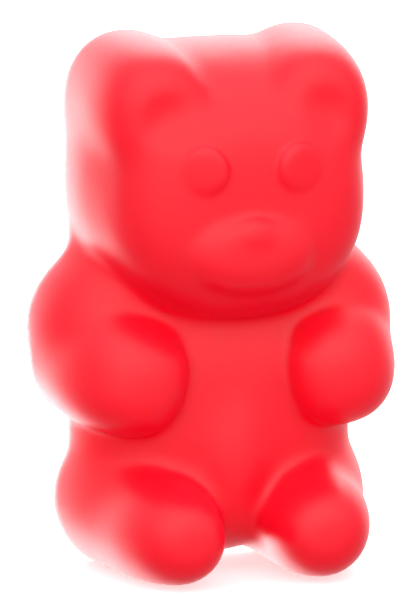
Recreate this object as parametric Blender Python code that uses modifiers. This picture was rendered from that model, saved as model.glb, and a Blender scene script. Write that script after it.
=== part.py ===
"""A gummy bear: one moulded sweet with a flat back, modelled standing on its feet.

The bear is a set of named rounded forms (torso, legs, arms, head, ears and face) that all rise from the
flat back, as they do in the mould.  Each form starts as a sphere, all of them are remeshed into one skin,
and the skin is then moved onto the surface where neighbouring forms melt into each other.
Units are metres, +Z up, the face looks along -Y.  The origin is on the floor, midway between the sides
and midway between the back and the toes.
"""

import math
from dataclasses import dataclass

import bmesh
import bpy
import numpy as np

NAME = "gummy_bear"
MM = 0.001

# Driving dimensions.
DEPTH = 8.1 * MM             # from the flat back to the toes
BACK_EDGE = 1.2 * MM         # rounding where the flat back meets the sides
SOLE_EDGE = 0.35 * MM        # rounding round the flat soles

# Mesh: a coarse skin is enough here.
SPHERE_STEPS = 4
SKIN_CELL = 0.2 * MM
EVEN_ROUNDS = 6
SETTLE_ROUNDS = 8
LONGEST_MOVE = 0.1           # millimetres a point may move in one round
PROBE = 0.01                 # millimetres between the points that a slope is read from
TINY = 1e-6                  # keeps divisions clear of zero
TRIANGLES = 9000
FLAT_TOLERANCE = 0.004 * MM

COLOUR = (0.86, 0.03, 0.05, 1.0)
ROUGHNESS = 0.42


@dataclass(frozen=True)
class Form:
    """A rounded plug. Sizes are in millimetres; depth is measured forward from the flat back."""

    across: float            # centre, sideways; forms off the middle are mirrored
    up: float                # centre, height
    wide: float              # half-width of the widest section
    tall: float              # half-height of the widest section
    base: float              # depth of the widest section
    top: float               # depth of the front
    fullness: float = 3.0    # side profile: 2 is a dome, 4 is a flat-fronted plug
    squareness: float = 2.0  # outline from the front: 2 is an ellipse, 4 is nearly a rectangle
    tilt: float = 0.0        # turn of the outline in degrees, outer end up
    lean_in: float = 0.0     # sideways drift of the centre for each millimetre forward
    lean_down: float = 0.0   # downward drift of the centre for each millimetre forward
    face_out: float = 0.0    # turn of the whole form to the side, in degrees
    back: float = 0.0        # reach of the rounded back behind the widest section; 0 is as far as the front

    def to_local(self, points):
        """Points (across, depth, up) seen from the form's centre, with tilt and lean undone."""
        offset = points - np.array([self.across, self.base, self.up])
        angle = math.radians(self.face_out)
        side = math.cos(angle) * offset[:, 0] - math.sin(angle) * offset[:, 1]
        depth = math.sin(angle) * offset[:, 0] + math.cos(angle) * offset[:, 1]
        side = side + self.lean_in * depth
        height = offset[:, 2] + self.lean_down * depth
        turn = math.radians(self.tilt)
        along = math.cos(turn) * side + math.sin(turn) * height
        over = math.cos(turn) * height - math.sin(turn) * side
        return np.stack([along, depth, over], axis=1)

    def from_local(self, local):
        """The inverse of to_local."""
        turn = math.radians(self.tilt)
        side = math.cos(turn) * local[:, 0] - math.sin(turn) * local[:, 2] - self.lean_in * local[:, 1]
        height = math.sin(turn) * local[:, 0] + math.cos(turn) * local[:, 2] - self.lean_down * local[:, 1]
        angle = math.radians(self.face_out)
        across = math.cos(angle) * side + math.sin(angle) * local[:, 1]
        depth = math.cos(angle) * local[:, 1] - math.sin(angle) * side
        return np.stack([across, depth, height], axis=1) + np.array([self.across, self.base, self.up])

    def radii(self, depth):
        """Reach of the form from its centre at each depth: sideways, forward or backward, and upward."""
        front = self.top - self.base
        reach = np.where(depth < 0.0, self.back or front, front)
        return np.stack([np.full_like(reach, self.wide), reach, np.full_like(reach, self.tall)], axis=1)

    def gauge(self, unit):
        """Size of a point measured in radii: 1 on the surface. Also gives the outline part alone."""
        outline = (unit[:, 0] ** self.squareness + unit[:, 2] ** self.squareness) ** (1 / self.squareness)
        size = (outline ** self.fullness + unit[:, 1] ** self.fullness) ** (1 / self.fullness)
        return outline, size

    def distance(self, points):
        """About how far each point is outside the form, in millimetres."""
        local = self.to_local(points)
        radii = self.radii(local[:, 1])
        unit = np.abs(local) / radii + TINY
        outline, size = self.gauge(unit)
        roundness = (outline / size) ** (self.fullness - 1)
        slope = np.stack([
            roundness * (unit[:, 0] / outline) ** (self.squareness - 1),
            (unit[:, 1] / size) ** (self.fullness - 1),
            roundness * (unit[:, 2] / outline) ** (self.squareness - 1),
        ], axis=1)
        return (size - 1.0) / np.linalg.norm(slope / radii, axis=1)

    def swell(self, sphere):
        """Points of a unit sphere moved onto the form's surface."""
        size = self.gauge(np.abs(sphere) + TINY)[1]
        return self.from_local(sphere / size[:, None] * self.radii(sphere[:, 1]))


TORSO = Form(0, 6.6, 5.88, 6.15, -0.6, 4.9, fullness=2.5, squareness=3.0)
BELLY = Form(0, 4.6, 2.2, 4.0, 2.0, 5.3, fullness=2.2)
SEAT = Form(0, 3.3, 2.3, 2.3, -0.5, 4.7, fullness=4.5, squareness=4.5)
HIP = Form(3.53, 2.85, 2.97, 2.5, -0.5, 4.6, fullness=2.4, squareness=2.1, lean_in=0.1)
FOOT = Form(3.6, 2.1, 2.42, 2.35, 0.0, 8.1, fullness=3.2, tilt=20, lean_in=0.09, lean_down=0.017)
SHOULDER = Form(4.0, 9.7, 3.6, 3.55, -0.5, 4.3, fullness=2.6, squareness=1.9, tilt=5, lean_in=0.03)
PAW = Form(
    4.72, 8.62, 2.6, 2.7, 1.2, 6.2,
    fullness=2.7, squareness=2.3, tilt=14, lean_in=0.12, lean_down=0.14, back=1.6)
NECK = Form(0, 12.6, 5.78, 2.6, -0.5, 3.2, fullness=2.4, squareness=4.0)
SKULL = Form(0, 16.25, 5.93, 4.95, -0.4, 5.7, fullness=3.0, squareness=2.9)
FACE = Form(0, 15.0, 5.43, 4.75, 1.0, 6.9, fullness=4.0, squareness=2.25)
EAR = Form(3.55, 18.75, 2.5, 2.85, -0.4, 5.95, fullness=4.0, squareness=2.1, lean_in=0.06, lean_down=0.03)
MUZZLE = Form(0, 13.3, 2.82, 1.76, 5.0, 7.44, fullness=3.4, squareness=2.1)
NOSE = Form(0, 14.15, 0.85, 0.62, 6.8, 7.46, fullness=2.4)
EYE = Form(1.85, 16.68, 1.03, 1.03, 6.2, 7.03, fullness=5.0, face_out=15)
EAR_DISH = Form(3.3, 18.45, 1.5, 1.75, 6.68, 7.62, fullness=2.0)

# Each group melts together in this order; the number is how far the blend reaches, in millimetres.
BODY_FORMS = ((TORSO, 0.0), (BELLY, 0.8), (SEAT, 0.6), (HIP, 1.0), (FOOT, 1.3), (SHOULDER, 1.2), (PAW, 0.6))
HEAD_FORMS = ((SKULL, 0.0), (NECK, 0.6), (EAR, 0.6), (FACE, 1.4), (MUZZLE, 0.45), (NOSE, 0.4), (EYE, 0.12))
HOLLOWS = {EAR: (EAR_DISH, 0.4)}
NECK_BLEND = 1.2


def blend(first, second, reach):
    """The smaller of two distances, rounded off where they are within reach of each other."""
    if reach <= 0.0:
        return np.minimum(first, second)
    near = np.maximum(reach - np.abs(first - second), 0.0) / reach
    return np.minimum(first, second) - near ** 3 * reach / 6.0


def carved(form, points):
    """Distance to one form, with its hollow taken out of it."""
    total = form.distance(points)
    if form in HOLLOWS:
        hollow, reach = HOLLOWS[form]
        total = -blend(-total, hollow.distance(points), reach)
    return total


def melt(forms, points):
    total = carved(forms[0][0], points)
    for form, reach in forms[1:]:
        total = blend(total, carved(form, points), reach)
    return total


def bear_distance(points):
    """How far points (across, depth, up) in millimetres are outside the bear."""
    half = points.copy()
    half[:, 0] = np.abs(half[:, 0])
    total = blend(melt(BODY_FORMS, half), melt(HEAD_FORMS, half), NECK_BLEND)
    total = -blend(-total, half[:, 1], BACK_EDGE / MM)
    return -blend(-total, half[:, 2], SOLE_EDGE / MM)


def bear_slope(points):
    """Direction in which the distance grows fastest."""
    parts = []
    for axis in range(3):
        offset = np.zeros(3)
        offset[axis] = PROBE
        parts.append(bear_distance(points + offset) - bear_distance(points - offset))
    slope = np.stack(parts, axis=1)
    return slope / np.maximum(np.linalg.norm(slope, axis=1, keepdims=True), TINY)


def clear_scene():
    for thing in list(bpy.data.objects):
        bpy.data.objects.remove(thing, do_unlink=True)


def gummy_material():
    material = bpy.data.materials.new("red_gummy")
    material.use_nodes = True
    shader = material.node_tree.nodes["Principled BSDF"]
    shader.inputs["Base Color"].default_value = COLOUR
    shader.inputs["Roughness"].default_value = ROUGHNESS
    shader.inputs["Metallic"].default_value = 0.0
    return material


def to_model(points):
    """(across, depth, up) in millimetres to the model's metres, with the origin under the middle."""
    return np.stack([points[:, 0] * MM, DEPTH / 2 - points[:, 1] * MM, points[:, 2] * MM], axis=1)


def to_mould(points):
    return np.stack([points[:, 0], DEPTH / 2 - points[:, 1], points[:, 2]], axis=1) / MM


def add_form(target, form, mirrored):
    """A sphere swollen into the form and pressed flat at the back and the floor, added to the bmesh."""
    made = bmesh.ops.create_icosphere(target, subdivisions=SPHERE_STEPS, radius=1.0)
    sphere = np.array([vertex.co[:] for vertex in made["verts"]])
    points = form.swell(sphere)
    points[:, 1:] = np.maximum(points[:, 1:], 0.0)
    if mirrored:
        points[:, 0] = -points[:, 0]
    for vertex, place in zip(made["verts"], to_model(points)):
        vertex.co = place
    if not mirrored:
        faces = {face for vertex in made["verts"] for face in vertex.link_faces}
        bmesh.ops.reverse_faces(target, faces=list(faces))


def rough_skin():
    """All the forms as overlapping closed spheres in one mesh."""
    skin = bmesh.new()
    for form, _ in BODY_FORMS + HEAD_FORMS:
        add_form(skin, form, mirrored=False)
        if form.across > 0:
            add_form(skin, form, mirrored=True)
    mesh = bpy.data.meshes.new(NAME)
    skin.to_mesh(mesh)
    skin.free()
    return mesh


def remeshed(mesh):
    """The mesh as one closed skin of even cells, without its overlaps."""
    thing = bpy.data.objects.new(NAME, mesh)
    bpy.context.scene.collection.objects.link(thing)
    remesh = thing.modifiers.new("skin", "REMESH")
    remesh.mode = "VOXEL"
    remesh.voxel_size = SKIN_CELL
    evaluated = thing.evaluated_get(bpy.context.evaluated_depsgraph_get())
    skin = bpy.data.meshes.new_from_object(evaluated)
    bpy.data.objects.remove(thing, do_unlink=True)
    return skin


def evened(points, edges):
    """Each point moved half-way to the average of its neighbours."""
    total = np.zeros_like(points)
    count = np.zeros(len(points))
    for near, far in ((0, 1), (1, 0)):
        np.add.at(total, edges[:, near], points[edges[:, far]])
        np.add.at(count, edges[:, near], 1.0)
    return (points + total / count[:, None]) / 2


def settle(mesh):
    """Move the skin onto the blended surface, keeping its cells even."""
    points = np.empty(len(mesh.vertices) * 3, dtype=np.float32)
    mesh.vertices.foreach_get("co", points)
    points = to_mould(points.reshape(-1, 3).astype(float))
    edges = np.empty(len(mesh.edges) * 2, dtype=np.int32)
    mesh.edges.foreach_get("vertices", edges)
    edges = edges.reshape(-1, 2)
    for step in range(EVEN_ROUNDS + SETTLE_ROUNDS):
        if step < EVEN_ROUNDS:
            points = evened(points, edges)
        move = np.clip(bear_distance(points), -LONGEST_MOVE, LONGEST_MOVE)
        points -= move[:, None] * bear_slope(points)
    for axis in (1, 2):
        points[np.abs(points[:, axis]) < FLAT_TOLERANCE / MM, axis] = 0.0
    mesh.vertices.foreach_set("co", to_model(points).astype(np.float32).ravel())
    mesh.update()


def make_bear(collection):
    mesh = remeshed(rough_skin())
    settle(mesh)
    mesh.name = NAME
    mesh.materials.clear()
    mesh.materials.append(gummy_material())
    bear = bpy.data.objects.new(NAME, mesh)
    collection.objects.link(bear)
    triangulate = bear.modifiers.new("triangles", "TRIANGULATE")
    triangulate.quad_method = "SHORTEST_DIAGONAL"
    decimate = bear.modifiers.new("coarser", "DECIMATE")
    decimate.ratio = TRIANGLES / (2 * len(mesh.polygons))
    mesh.shade_smooth()
    return bear


def main():
    clear_scene()
    parts = bpy.data.collections.new(NAME)
    bpy.context.scene.collection.children.link(parts)
    make_bear(parts)


main()
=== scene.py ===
"""A red gummy bear on a pale studio floor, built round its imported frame.

Forms are plugs that rise from the flat back of the sweet, as they do in the mould, and melt into each other.
Places in the mould are (across, depth, up) in millimetres: depth is measured forward from the flat back.
Everything in the scene is in metres, +Z up, and the face looks along -Y.
"""

import math
from dataclasses import dataclass

import bmesh
import bpy
import numpy as np
from bpy.props import FloatProperty, FloatVectorProperty, IntProperty, PointerProperty
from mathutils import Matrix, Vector


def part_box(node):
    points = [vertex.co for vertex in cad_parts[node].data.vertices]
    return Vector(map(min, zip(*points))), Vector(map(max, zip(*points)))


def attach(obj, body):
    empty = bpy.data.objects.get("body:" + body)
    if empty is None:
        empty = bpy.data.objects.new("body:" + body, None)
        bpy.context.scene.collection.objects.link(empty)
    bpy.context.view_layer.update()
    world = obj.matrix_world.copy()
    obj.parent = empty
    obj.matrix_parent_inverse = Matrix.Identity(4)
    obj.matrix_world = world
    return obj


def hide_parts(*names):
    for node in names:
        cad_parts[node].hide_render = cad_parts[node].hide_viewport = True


bl_info = {
    "name": "Gummy bear",
    "version": (1, 0, 0),
    "blender": (4, 5, 0),
    "location": "3D View > Sidebar > Gummy",
    "description": "Builds a red gummy bear and the pale studio it stands in",
    "category": "Add Mesh",
}

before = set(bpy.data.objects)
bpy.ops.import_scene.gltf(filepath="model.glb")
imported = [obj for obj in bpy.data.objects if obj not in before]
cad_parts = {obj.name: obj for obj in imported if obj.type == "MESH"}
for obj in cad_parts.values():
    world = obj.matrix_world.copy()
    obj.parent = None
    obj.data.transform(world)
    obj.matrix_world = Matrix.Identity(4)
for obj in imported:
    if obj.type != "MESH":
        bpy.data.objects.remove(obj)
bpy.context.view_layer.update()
LOW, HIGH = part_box("gummy_bear")

MOULD_HEIGHT = 21.56     # millimetres; the numbers of the forms are for a bear of this height
SPHERE_STEPS = 4         # fineness of the spheres that the forms start from
PROBE = 0.01             # millimetres between the points that a slope is read from
FLAT_TOLERANCE = 0.004   # millimetres; points nearer than this to the back or the floor are put on it
TINY = 1e-6              # keeps divisions clear of zero

FLOOR_REACH = 0.8        # half the side of the square floor
BACKDROP_REACH = 0.7     # radius of the white backdrop that stands round the sweet and the camera
BACKDROP_SINK = 0.001    # how far the backdrop reaches below the floor
SENSOR_WIDTH = 36.0


class BearSizes(bpy.types.PropertyGroup):
    """Sizes of the sweet and of the mesh it is made of."""

    height: FloatProperty(
        name="Height", description="From the soles to the top of the ears",
        default=HIGH.z - LOW.z, min=0.005, unit="LENGTH", subtype="DISTANCE", precision=5)
    depth: FloatProperty(
        name="Depth", description="From the flat back to the toes",
        default=HIGH.y - LOW.y, min=0.002, unit="LENGTH", subtype="DISTANCE", precision=5)
    back_edge: FloatProperty(
        name="Back edge", description="Rounding where the flat back meets the sides, in mould millimetres",
        default=1.2, min=0.0)
    sole_edge: FloatProperty(
        name="Sole edge", description="Rounding round the flat soles, in mould millimetres",
        default=0.35, min=0.0)
    cell: FloatProperty(
        name="Skin cell", description="Size of the mesh's faces, in mould millimetres",
        default=0.14, min=0.08)
    even_rounds: IntProperty(
        name="Evening rounds", description="Rounds that even out the skin as it settles", default=6, min=0)
    settle_rounds: IntProperty(
        name="Settling rounds", description="Rounds that only move the skin onto the surface",
        default=6, min=1)


class GumLook(bpy.types.PropertyGroup):
    """Colours and finish of the gum."""

    gum: FloatVectorProperty(
        name="Gum", description="Red of the gum",
        default=(0.92, 0.003, 0.026), size=3, min=0.0, max=1.0, subtype="COLOR")
    deep: FloatVectorProperty(
        name="Deep gum", description="Darker red of the cloudy patches",
        default=(0.8, 0.002, 0.018), size=3, min=0.0, max=1.0, subtype="COLOR")
    roughness: FloatProperty(
        name="Roughness", description="Average roughness of the waxed skin", default=0.42, min=0.0, max=1.0)
    glow: FloatProperty(
        name="Glow depth", description="How far light travels inside the gum",
        default=0.0022, min=0.0, unit="LENGTH", subtype="DISTANCE", precision=5)


class StudioLook(bpy.types.PropertyGroup):
    """The floor, the light and the camera."""

    floor: FloatVectorProperty(
        name="Floor", description="Colour of the floor",
        default=(0.66, 0.66, 0.66), size=3, min=0.0, max=1.0, subtype="COLOR")
    surround: FloatProperty(
        name="Surround", description="Brightness of the white surround", default=0.5, min=0.0)
    left: FloatProperty(
        name="Left glow", description="Extra brightness of the surround behind the bear's right side",
        default=8.5, min=0.0)
    right: FloatProperty(
        name="Right glow", description="Extra brightness of the surround behind the bear's left side",
        default=2.2, min=0.0)
    top: FloatProperty(
        name="Top glow", description="Extra brightness of the surround above and behind",
        default=4.2, min=0.0)
    front: FloatProperty(
        name="Front glow", description="Extra brightness of the surround in front, high up",
        default=1.6, min=0.0)
    floor_glow: FloatProperty(
        name="Floor glow", description="Light of the floor and backdrop themselves, which keeps shadows pale",
        default=0.6, min=0.0)
    swing: FloatProperty(
        name="Camera swing",
        description="Turn of the camera round the sweet; negative is to the bear's right",
        default=math.radians(-16.9), subtype="ANGLE")
    rise: FloatProperty(
        name="Camera rise", description="How far the camera looks down",
        default=math.radians(10.1), subtype="ANGLE")
    distance: FloatProperty(
        name="Camera distance", description="From the camera to the sweet",
        default=0.350, min=0.05, unit="LENGTH", subtype="DISTANCE")
    lens: FloatProperty(
        name="Lens", description="Focal length in millimetres", default=518.0, min=20.0)
    aim: FloatVectorProperty(
        name="Aim", description="Point that the camera looks at",
        default=(-0.00087, 0.00027, 0.01077), size=3, unit="LENGTH", subtype="XYZ", precision=5)


@dataclass(frozen=True)
class Form:
    """A rounded plug that rises from the back. Forms off the middle are mirrored."""

    across: float            # centre, sideways
    up: float                # centre, height
    wide: float              # half-width of the widest section
    tall: float              # half-height of the widest section
    base: float              # depth of the widest section
    top: float               # depth of the front
    fullness: float = 3.0    # side profile: 2 is a dome, 4 is a flat-fronted plug
    squareness: float = 2.0  # outline from the front: 2 is an ellipse, 4 is nearly a rectangle
    tilt: float = 0.0        # turn of the outline in degrees, outer end up
    lean_in: float = 0.0     # sideways drift of the centre for each millimetre forward
    lean_down: float = 0.0   # downward drift of the centre for each millimetre forward
    face_out: float = 0.0    # turn of the whole form to the side, in degrees
    back: float = 0.0        # reach of the rounded back behind the widest section; 0 is as far as the front

    def to_local(self, points):
        """Points seen from the form's centre, with turn and lean undone."""
        offset = points - np.array([self.across, self.base, self.up])
        angle = math.radians(self.face_out)
        side = math.cos(angle) * offset[:, 0] - math.sin(angle) * offset[:, 1]
        depth = math.sin(angle) * offset[:, 0] + math.cos(angle) * offset[:, 1]
        side = side + self.lean_in * depth
        height = offset[:, 2] + self.lean_down * depth
        turn = math.radians(self.tilt)
        along = math.cos(turn) * side + math.sin(turn) * height
        over = math.cos(turn) * height - math.sin(turn) * side
        return np.stack([along, depth, over], axis=1)

    def to_mould(self, local):
        """The inverse of to_local."""
        turn = math.radians(self.tilt)
        side = math.cos(turn) * local[:, 0] - math.sin(turn) * local[:, 2] - self.lean_in * local[:, 1]
        height = math.sin(turn) * local[:, 0] + math.cos(turn) * local[:, 2] - self.lean_down * local[:, 1]
        angle = math.radians(self.face_out)
        across = math.cos(angle) * side + math.sin(angle) * local[:, 1]
        depth = math.cos(angle) * local[:, 1] - math.sin(angle) * side
        return np.stack([across, depth, height], axis=1) + np.array([self.across, self.base, self.up])

    def radii(self, depth):
        """Reach of the form from its centre at each depth: sideways, forward or backward, and upward."""
        front = self.top - self.base
        reach = np.where(depth < 0.0, self.back or front, front)
        return np.stack([np.full_like(reach, self.wide), reach, np.full_like(reach, self.tall)], axis=1)

    def gauge(self, unit):
        """Size of a point measured in radii: 1 on the surface. Also gives the outline part alone."""
        outline = (unit[:, 0] ** self.squareness + unit[:, 2] ** self.squareness) ** (1 / self.squareness)
        size = (outline ** self.fullness + unit[:, 1] ** self.fullness) ** (1 / self.fullness)
        return outline, size

    def distance(self, points):
        """About how far each point is outside the form, in millimetres."""
        local = self.to_local(points)
        radii = self.radii(local[:, 1])
        unit = np.abs(local) / radii + TINY
        outline, size = self.gauge(unit)
        roundness = (outline / size) ** (self.fullness - 1)
        slope = np.stack([
            roundness * (unit[:, 0] / outline) ** (self.squareness - 1),
            (unit[:, 1] / size) ** (self.fullness - 1),
            roundness * (unit[:, 2] / outline) ** (self.squareness - 1),
        ], axis=1)
        return (size - 1.0) / np.linalg.norm(slope / radii, axis=1)

    def swell(self, sphere):
        """Points of a unit sphere moved onto the form's surface."""
        size = self.gauge(np.abs(sphere) + TINY)[1]
        return self.to_mould(sphere / size[:, None] * self.radii(sphere[:, 1]))


TORSO = Form(0, 6.6, 5.88, 6.15, -0.6, 4.9, fullness=2.5, squareness=3.0)
BELLY = Form(0, 4.6, 2.2, 4.0, 2.0, 5.3, fullness=2.2)
SEAT = Form(0, 3.3, 2.3, 2.3, -0.5, 4.7, fullness=4.5, squareness=4.5)
HIP = Form(3.53, 2.85, 2.97, 2.5, -0.5, 4.6, fullness=2.4, squareness=2.1, lean_in=0.1)
FOOT = Form(3.6, 2.1, 2.42, 2.35, 0.0, 8.1, fullness=3.2, tilt=20, lean_in=0.09, lean_down=0.017)
SHOULDER = Form(4.0, 9.7, 3.6, 3.55, -0.5, 4.3, fullness=2.6, squareness=1.9, tilt=5, lean_in=0.03)
PAW = Form(
    4.72, 8.62, 2.6, 2.7, 1.2, 6.2,
    fullness=2.7, squareness=2.3, tilt=14, lean_in=0.12, lean_down=0.14, back=1.6)
NECK = Form(0, 12.6, 5.78, 2.6, -0.5, 3.2, fullness=2.4, squareness=4.0)
SKULL = Form(0, 16.25, 5.93, 4.95, -0.4, 5.7, fullness=3.0, squareness=2.9)
FACE = Form(0, 15.0, 5.43, 4.75, 1.0, 6.9, fullness=4.0, squareness=2.25)
EAR = Form(3.55, 18.75, 2.5, 2.85, -0.4, 5.95, fullness=4.0, squareness=2.1, lean_in=0.06, lean_down=0.03)
MUZZLE = Form(0, 13.3, 2.82, 1.76, 5.0, 7.44, fullness=3.4, squareness=2.1)
NOSE = Form(0, 14.15, 0.85, 0.62, 6.8, 7.46, fullness=2.4)
EYE = Form(1.85, 16.68, 1.03, 1.03, 6.2, 7.03, fullness=5.0, face_out=15)
EAR_DISH = Form(3.3, 18.45, 1.5, 1.75, 6.68, 7.62, fullness=2.0)

# Each group melts together in this order; the number is how far the blend reaches, in millimetres.
BODY_FORMS = ((TORSO, 0.0), (BELLY, 0.8), (SEAT, 0.6), (HIP, 1.0), (FOOT, 1.3), (SHOULDER, 1.2), (PAW, 0.6))
HEAD_FORMS = ((SKULL, 0.0), (NECK, 0.6), (EAR, 0.6), (FACE, 1.4), (MUZZLE, 0.45), (NOSE, 0.4), (EYE, 0.12))
HOLLOWS = {EAR: (EAR_DISH, 0.4)}
NECK_BLEND = 1.2


def blend(first, second, reach):
    """The smaller of two distances, rounded off where they are within reach of each other."""
    if reach <= 0.0:
        return np.minimum(first, second)
    near = np.maximum(reach - np.abs(first - second), 0.0) / reach
    return np.minimum(first, second) - near ** 3 * reach / 6.0


def carved(form, points):
    """Distance to one form, with its hollow taken out of it."""
    total = form.distance(points)
    if form in HOLLOWS:
        hollow, reach = HOLLOWS[form]
        total = -blend(-total, hollow.distance(points), reach)
    return total


def melt(forms, points):
    """Distance to a group of forms melted together in order."""
    total = carved(forms[0][0], points)
    for form, reach in forms[1:]:
        total = blend(total, carved(form, points), reach)
    return total


def bear_distance(points, sizes):
    """How far points are outside the bear."""
    half = points.copy()
    half[:, 0] = np.abs(half[:, 0])
    total = blend(melt(BODY_FORMS, half), melt(HEAD_FORMS, half), NECK_BLEND)
    total = -blend(-total, half[:, 1], sizes.back_edge)
    return -blend(-total, half[:, 2], sizes.sole_edge)


def bear_slope(points, distance, sizes):
    """Direction in which the distance grows fastest."""
    parts = []
    for axis in range(3):
        offset = np.zeros(3)
        offset[axis] = PROBE
        parts.append(bear_distance(points + offset, sizes) - distance)
    slope = np.stack(parts, axis=1)
    return slope / np.maximum(np.linalg.norm(slope, axis=1, keepdims=True), TINY)


class Mould:
    """Turns places in the mould into the model's metres and back."""

    def __init__(self, sizes):
        self.unit = sizes.height / MOULD_HEIGHT
        self.front = sizes.depth / 2

    def out(self, points):
        """Mould millimetres to the model's metres."""
        across, depth, up = points.T * self.unit
        return np.stack([across, self.front - depth, up], axis=1)

    def back(self, points):
        """The inverse of out."""
        return np.stack([points[:, 0], self.front - points[:, 1], points[:, 2]], axis=1) / self.unit


def add_form(skin, form, mould, mirrored):
    """A sphere swollen into the form and pressed flat at the back and the floor."""
    made = bmesh.ops.create_icosphere(skin, subdivisions=SPHERE_STEPS, radius=1.0)
    sphere = np.array([vertex.co[:] for vertex in made["verts"]])
    points = form.swell(sphere)
    points[:, 1:] = np.maximum(points[:, 1:], 0.0)
    if mirrored:
        points[:, 0] = -points[:, 0]
    for vertex, place in zip(made["verts"], mould.out(points)):
        vertex.co = place
    if not mirrored:
        faces = {face for vertex in made["verts"] for face in vertex.link_faces}
        bmesh.ops.reverse_faces(skin, faces=list(faces))


def rough_skin(mould):
    """All the forms as overlapping closed spheres in one mesh."""
    skin = bmesh.new()
    for form, _ in BODY_FORMS + HEAD_FORMS:
        add_form(skin, form, mould, mirrored=False)
        if form.across > 0:
            add_form(skin, form, mould, mirrored=True)
    mesh = bpy.data.meshes.new("rough_skin")
    skin.to_mesh(mesh)
    skin.free()
    return mesh


def remeshed(mesh, cell):
    """The mesh as one closed skin of even cells, without its overlaps."""
    thing = bpy.data.objects.new("rough_skin", mesh)
    bpy.context.scene.collection.objects.link(thing)
    remesh = thing.modifiers.new("skin", "REMESH")
    remesh.mode = "VOXEL"
    remesh.voxel_size = cell
    evaluated = thing.evaluated_get(bpy.context.evaluated_depsgraph_get())
    skin = bpy.data.meshes.new_from_object(evaluated)
    bpy.data.objects.remove(thing, do_unlink=True)
    bpy.data.meshes.remove(mesh)
    return skin


def evened(points, edges):
    """Each point moved half-way to the average of its neighbours."""
    total = np.zeros_like(points)
    count = np.zeros(len(points))
    for near, far in ((0, 1), (1, 0)):
        for axis in range(3):
            total[:, axis] += np.bincount(edges[:, near], points[edges[:, far], axis], len(points))
        count += np.bincount(edges[:, near], minlength=len(points))
    return (points + total / count[:, None]) / 2


def settle(mesh, mould, sizes):
    """Move the skin onto the blended surface, keeping its cells even."""
    points = np.empty(len(mesh.vertices) * 3, dtype=np.float32)
    mesh.vertices.foreach_get("co", points)
    points = mould.back(points.reshape(-1, 3).astype(float))
    edges = np.empty(len(mesh.edges) * 2, dtype=np.int32)
    mesh.edges.foreach_get("vertices", edges)
    edges = edges.reshape(-1, 2)
    longest = sizes.cell / 2
    for step in range(sizes.even_rounds + sizes.settle_rounds):
        if step < sizes.even_rounds:
            points = evened(points, edges)
        distance = bear_distance(points, sizes)
        slope = bear_slope(points, distance, sizes)
        points -= np.clip(distance, -longest, longest)[:, None] * slope
    for axis in (1, 2):
        points[np.abs(points[:, axis]) < FLAT_TOLERANCE, axis] = 0.0
    mesh.vertices.foreach_set("co", mould.out(points).astype(np.float32).ravel())
    mesh.update()


class Wire:
    """A number that changes over a surface: sums on it add Math nodes."""

    def __init__(self, tree, socket):
        self.tree = tree
        self.socket = socket

    def worked(self, operation, first, second):
        """The result of one Math node on two wires or numbers."""
        node = self.tree.nodes.new("ShaderNodeMath")
        node.operation = operation
        for slot, value in zip(node.inputs, (first, second)):
            if isinstance(value, Wire):
                self.tree.links.new(value.socket, slot)
            else:
                slot.default_value = value
        return Wire(self.tree, node.outputs["Value"])

    def __add__(self, other):
        return self.worked("ADD", self, other)

    def __radd__(self, other):
        return self.worked("ADD", other, self)

    def __sub__(self, other):
        return self.worked("SUBTRACT", self, other)

    def __rsub__(self, other):
        return self.worked("SUBTRACT", other, self)

    def __mul__(self, other):
        return self.worked("MULTIPLY", self, other)

    def __rmul__(self, other):
        return self.worked("MULTIPLY", other, self)


class Finish:
    """A material's node tree, filled one node at a time."""

    def __init__(self, name):
        self.material = bpy.data.materials.new(name)
        self.material.use_nodes = True
        self.tree = self.material.node_tree
        self.tree.nodes.clear()

    def node(self, kind, settings=None, inputs=None, output=0):
        """One node: its settings first, then the values or wires of its sockets. Gives one output."""
        node = self.tree.nodes.new(kind)
        for name, value in (settings or {}).items():
            setattr(node, name, value)
        for name, value in (inputs or {}).items():
            if isinstance(value, Wire):
                self.tree.links.new(value.socket, node.inputs[name])
            else:
                node.inputs[name].default_value = value
        return Wire(self.tree, node.outputs[output]) if node.outputs else None

    def noise(self, place, scale, detail=2.0, roughness=0.5):
        """A solid noise between 0 and 1; scale is in cells to the metre."""
        return self.node("ShaderNodeTexNoise", {"noise_dimensions": "3D"}, {
            "Vector": place, "Scale": scale, "Detail": detail, "Roughness": roughness})


def gum_material(look):
    """Waxed gum: cloudy red inside, a soft skin with starch grain on it."""
    finish = Finish("red_gum")
    place = finish.node("ShaderNodeTexCoord", output="Object")
    clouds = finish.noise(place, 260.0, 2.0)
    waves = finish.noise(place, 700.0, 1.0)
    grain = finish.noise(place, 5200.0, 3.0, 0.6)
    cloudiness = finish.node("ShaderNodeMapRange", {"clamp": True}, {
        "Value": clouds, "From Min": 0.35, "From Max": 0.7, "To Min": 0.0, "To Max": 1.0})
    colour = finish.node("ShaderNodeMix", {"data_type": "RGBA"}, {
        0: cloudiness * 0.5, 6: (*look.gum, 1.0), 7: (*look.deep, 1.0)}, output=2)
    relief = waves * 0.7 + grain * 0.12
    normal = finish.node("ShaderNodeBump", {}, {
        "Strength": 0.25, "Distance": 0.0001, "Height": relief})
    shader = finish.node("ShaderNodeBsdfPrincipled", {"subsurface_method": "RANDOM_WALK"}, {
        "Base Color": colour,
        "Roughness": look.roughness - 0.05 + grain * 0.1,
        "IOR": 1.45,
        "Subsurface Weight": 1.0,
        "Subsurface Radius": (1.0, 0.12, 0.12),
        "Subsurface Scale": look.glow,
        "Subsurface Anisotropy": 0.3,
        "Normal": normal,
    })
    finish.node("ShaderNodeOutputMaterial", {}, {"Surface": shader})
    return finish.material


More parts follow.
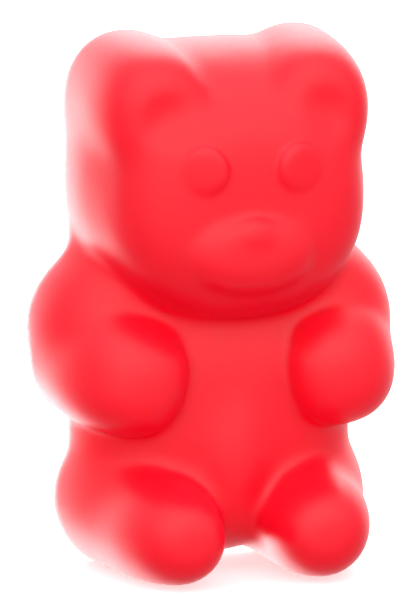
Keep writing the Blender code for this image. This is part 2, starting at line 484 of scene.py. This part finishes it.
def floor_material(look):
    """Matt white board, faintly uneven, for the floor and the backdrop."""
    finish = Finish("studio_floor")
    place = finish.node("ShaderNodeTexCoord", output="Object")
    patches = finish.noise(place, 40.0, 2.0)
    colour = finish.node("ShaderNodeMix", {"data_type": "RGBA"}, {
        0: patches * 0.2, 6: (*look.floor, 1.0), 7: (0.7, 0.7, 0.7, 1.0)}, output=2)
    shader = finish.node("ShaderNodeBsdfPrincipled", {}, {
        "Base Color": colour, "Roughness": 0.9, "Specular IOR Level": 0.1,
        "Emission Color": (1.0, 1.0, 1.0, 1.0), "Emission Strength": look.floor_glow})
    finish.node("ShaderNodeOutputMaterial", {}, {"Surface": shader})
    return finish.material


def direction(swing, rise):
    """Unit vector towards a place seen from the bear: swing is round the sweet from its front."""
    return Vector((
        math.sin(swing) * math.cos(rise), -math.cos(swing) * math.cos(rise), math.sin(rise)))


def surround_world(look):
    """A white surround with broad soft glows in it, as from big soft boxes."""
    world = bpy.data.worlds.new("surround")
    world.use_nodes = True
    tree = world.node_tree
    tree.nodes.clear()
    place = tree.nodes.new("ShaderNodeTexCoord")
    # Where each glow is, in degrees seen from the bear, how narrow it is, and how bright.
    glows = (
        (-162, -12, 9.0, look.left),
        (155, 8, 10.0, look.right),
        (165, 38, 16.0, look.top),
        (-12, 46, 1.5, look.front),
    )
    total = look.surround
    for swing, rise, narrowness, brightness in glows:
        way = direction(math.radians(swing), math.radians(rise))
        along = tree.nodes.new("ShaderNodeVectorMath")
        along.operation = "DOT_PRODUCT"
        tree.links.new(place.outputs["Generated"], along.inputs[0])
        along.inputs[1].default_value = way
        facing = Wire(tree, along.outputs["Value"])
        facing = facing.worked("MAXIMUM", facing, 0.0)
        total = facing.worked("POWER", facing, narrowness) * brightness + total
    background = tree.nodes.new("ShaderNodeBackground")
    background.inputs["Color"].default_value = (1.0, 1.0, 1.0, 1.0)
    tree.links.new(total.socket, background.inputs["Strength"])
    output = tree.nodes.new("ShaderNodeOutputWorld")
    tree.links.new(background.outputs[0], output.inputs["Surface"])
    return world


def stage_piece(name, shape, material):
    """A piece of the stage that the camera sees but that throws no light on the bear."""
    mesh = bpy.data.meshes.new(name)
    shape.to_mesh(mesh)
    shape.free()
    mesh.materials.append(material)
    piece = bpy.data.objects.new(name, mesh)
    bpy.context.scene.collection.objects.link(piece)
    piece.visible_diffuse = False
    piece.visible_glossy = False
    return piece


class GUMMY_OT_bear(bpy.types.Operator):
    """Build the bear: one skin over all its forms, with the gum finish"""

    bl_idname = "gummy.bear"
    bl_label = "Bear"

    def execute(self, context):
        sizes = context.scene.gummy_sizes
        mould = Mould(sizes)
        mesh = remeshed(rough_skin(mould), sizes.cell * mould.unit)
        settle(mesh, mould, sizes)
        mesh.name = "bear"
        mesh.materials.clear()
        mesh.materials.append(gum_material(context.scene.gummy_look))
        mesh.shade_smooth()
        bear = bpy.data.objects.new("bear", mesh)
        context.scene.collection.objects.link(bear)
        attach(bear, "root")
        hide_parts("gummy_bear")
        return {"FINISHED"}


class GUMMY_OT_stage(bpy.types.Operator):
    """Lay the floor, stand the backdrop round it, light it and place the camera"""

    bl_idname = "gummy.stage"
    bl_label = "Stage"

    def execute(self, context):
        studio = context.scene.gummy_studio
        white = floor_material(studio)
        board = bmesh.new()
        bmesh.ops.create_grid(board, x_segments=8, y_segments=8, size=FLOOR_REACH)
        stage_piece("floor", board, white)
        ring = bmesh.new()
        made = bmesh.ops.create_cone(
            ring, segments=96, radius1=BACKDROP_REACH, radius2=BACKDROP_REACH, depth=2 * BACKDROP_REACH)
        bmesh.ops.translate(ring, verts=made["verts"], vec=(0.0, 0.0, BACKDROP_REACH - BACKDROP_SINK))
        backdrop = stage_piece("backdrop", ring, white)
        backdrop.visible_shadow = False

        context.scene.world = surround_world(studio)
        lens = bpy.data.cameras.new("camera")
        lens.lens = studio.lens
        lens.sensor_width = SENSOR_WIDTH
        lens.clip_start = 0.01
        camera = bpy.data.objects.new("camera", lens)
        context.scene.collection.objects.link(camera)
        way = direction(studio.swing, studio.rise)
        camera.location = Vector(studio.aim) + way * studio.distance
        camera.rotation_euler = way.to_track_quat("Z", "Y").to_euler()
        context.scene.camera = camera
        context.scene.view_settings.view_transform = "Standard"
        return {"FINISHED"}


class GUMMY_PT_panel(bpy.types.Panel):
    """Lists the sizes, the looks and the pieces of the gummy bear"""

    bl_idname = "GUMMY_PT_panel"
    bl_label = "Gummy bear"
    bl_space_type = "VIEW_3D"
    bl_region_type = "UI"
    bl_category = "Gummy"

    def draw(self, context):
        for group in (context.scene.gummy_sizes, context.scene.gummy_look, context.scene.gummy_studio):
            box = self.layout.box()
            for name in group.__annotations__:
                box.prop(group, name)
        for operator in (GUMMY_OT_bear, GUMMY_OT_stage):
            self.layout.operator(operator.bl_idname)


GROUPS = (("gummy_sizes", BearSizes), ("gummy_look", GumLook), ("gummy_studio", StudioLook))
CLASSES = (GUMMY_OT_bear, GUMMY_OT_stage, GUMMY_PT_panel)


def register():
    for name, group in GROUPS:
        bpy.utils.register_class(group)
        setattr(bpy.types.Scene, name, PointerProperty(type=group))
    for made in CLASSES:
        bpy.utils.register_class(made)


def unregister():
    for made in reversed(CLASSES):
        bpy.utils.unregister_class(made)
    for name, group in reversed(GROUPS):
        delattr(bpy.types.Scene, name)
        bpy.utils.unregister_class(group)


def main():
    register()
    bpy.ops.gummy.bear()
    bpy.ops.gummy.stage()


if __name__ == "__main__":
    main()
